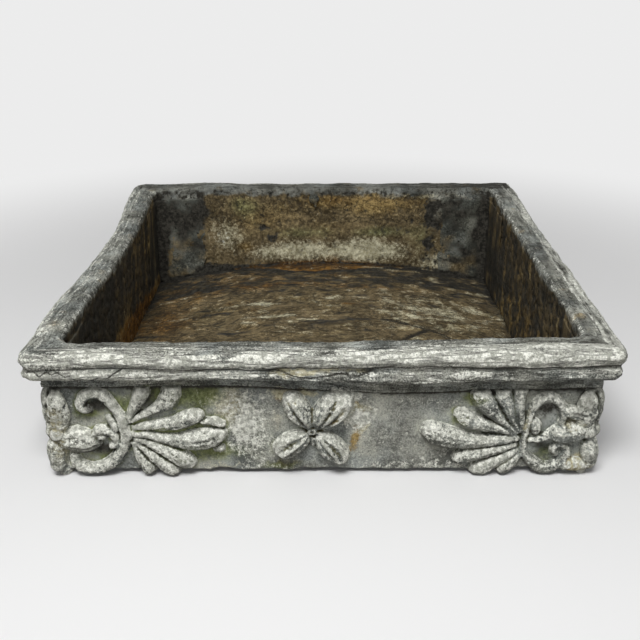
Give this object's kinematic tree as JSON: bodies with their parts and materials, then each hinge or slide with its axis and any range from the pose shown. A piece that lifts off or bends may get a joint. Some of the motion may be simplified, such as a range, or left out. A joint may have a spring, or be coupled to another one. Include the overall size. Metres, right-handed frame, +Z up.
{
  "type": "garden planter",
  "caption": "Shallow square lead garden planter with a double-roll moulded rim, an arched floor, leafed corner stems, palmettes with scrolls and a flower on each face.",
  "frame": {"origin": "on the ground below the middle of the planter", "axes": "+Z up, the front face looks along -Y, and +X is to the right as seen from the front"},
  "size_m": [0.44, 0.44, 0.114],
  "materials": {
    "weathered_lead": "dull grey lead with white oxide and green algae",
    "chalky_lead": "dull lead, chalky white on the high spots",
    "stained_lead": "soil-stained brown, streaked",
    "dark_lead": "dark grey, matt"
  },
  "bodies": {
    "root": {"front_wall": "weathered_lead", "rim_front": "chalky_lead", "palmette_front_left": "chalky_lead", "palmette_front_right": "chalky_lead", "flower_front": "chalky_lead", "right_wall": "weathered_lead", "rim_right": "chalky_lead", "palmette_right_front": "chalky_lead", "palmette_right_back": "chalky_lead", "flower_right": "chalky_lead", "back_wall": "weathered_lead", "rim_back": "chalky_lead", "palmette_back_right": "chalky_lead", "palmette_back_left": "chalky_lead", "flower_back": "chalky_lead", "left_wall": "weathered_lead", "rim_left": "chalky_lead", "palmette_left_back": "chalky_lead", "palmette_left_front": "chalky_lead", "flower_left": "chalky_lead", "corner_stem_front_left": "chalky_lead", "corner_strap_front_left": "dark_lead", "corner_stem_front_right": "chalky_lead", "corner_strap_front_right": "dark_lead", "corner_stem_back_right": "chalky_lead", "corner_strap_back_right": "dark_lead", "corner_stem_back_left": "chalky_lead", "corner_strap_back_left": "dark_lead", "floor_sheet": "stained_lead", "rim_plug": "dark_lead"}
  },
  "joints": []
}
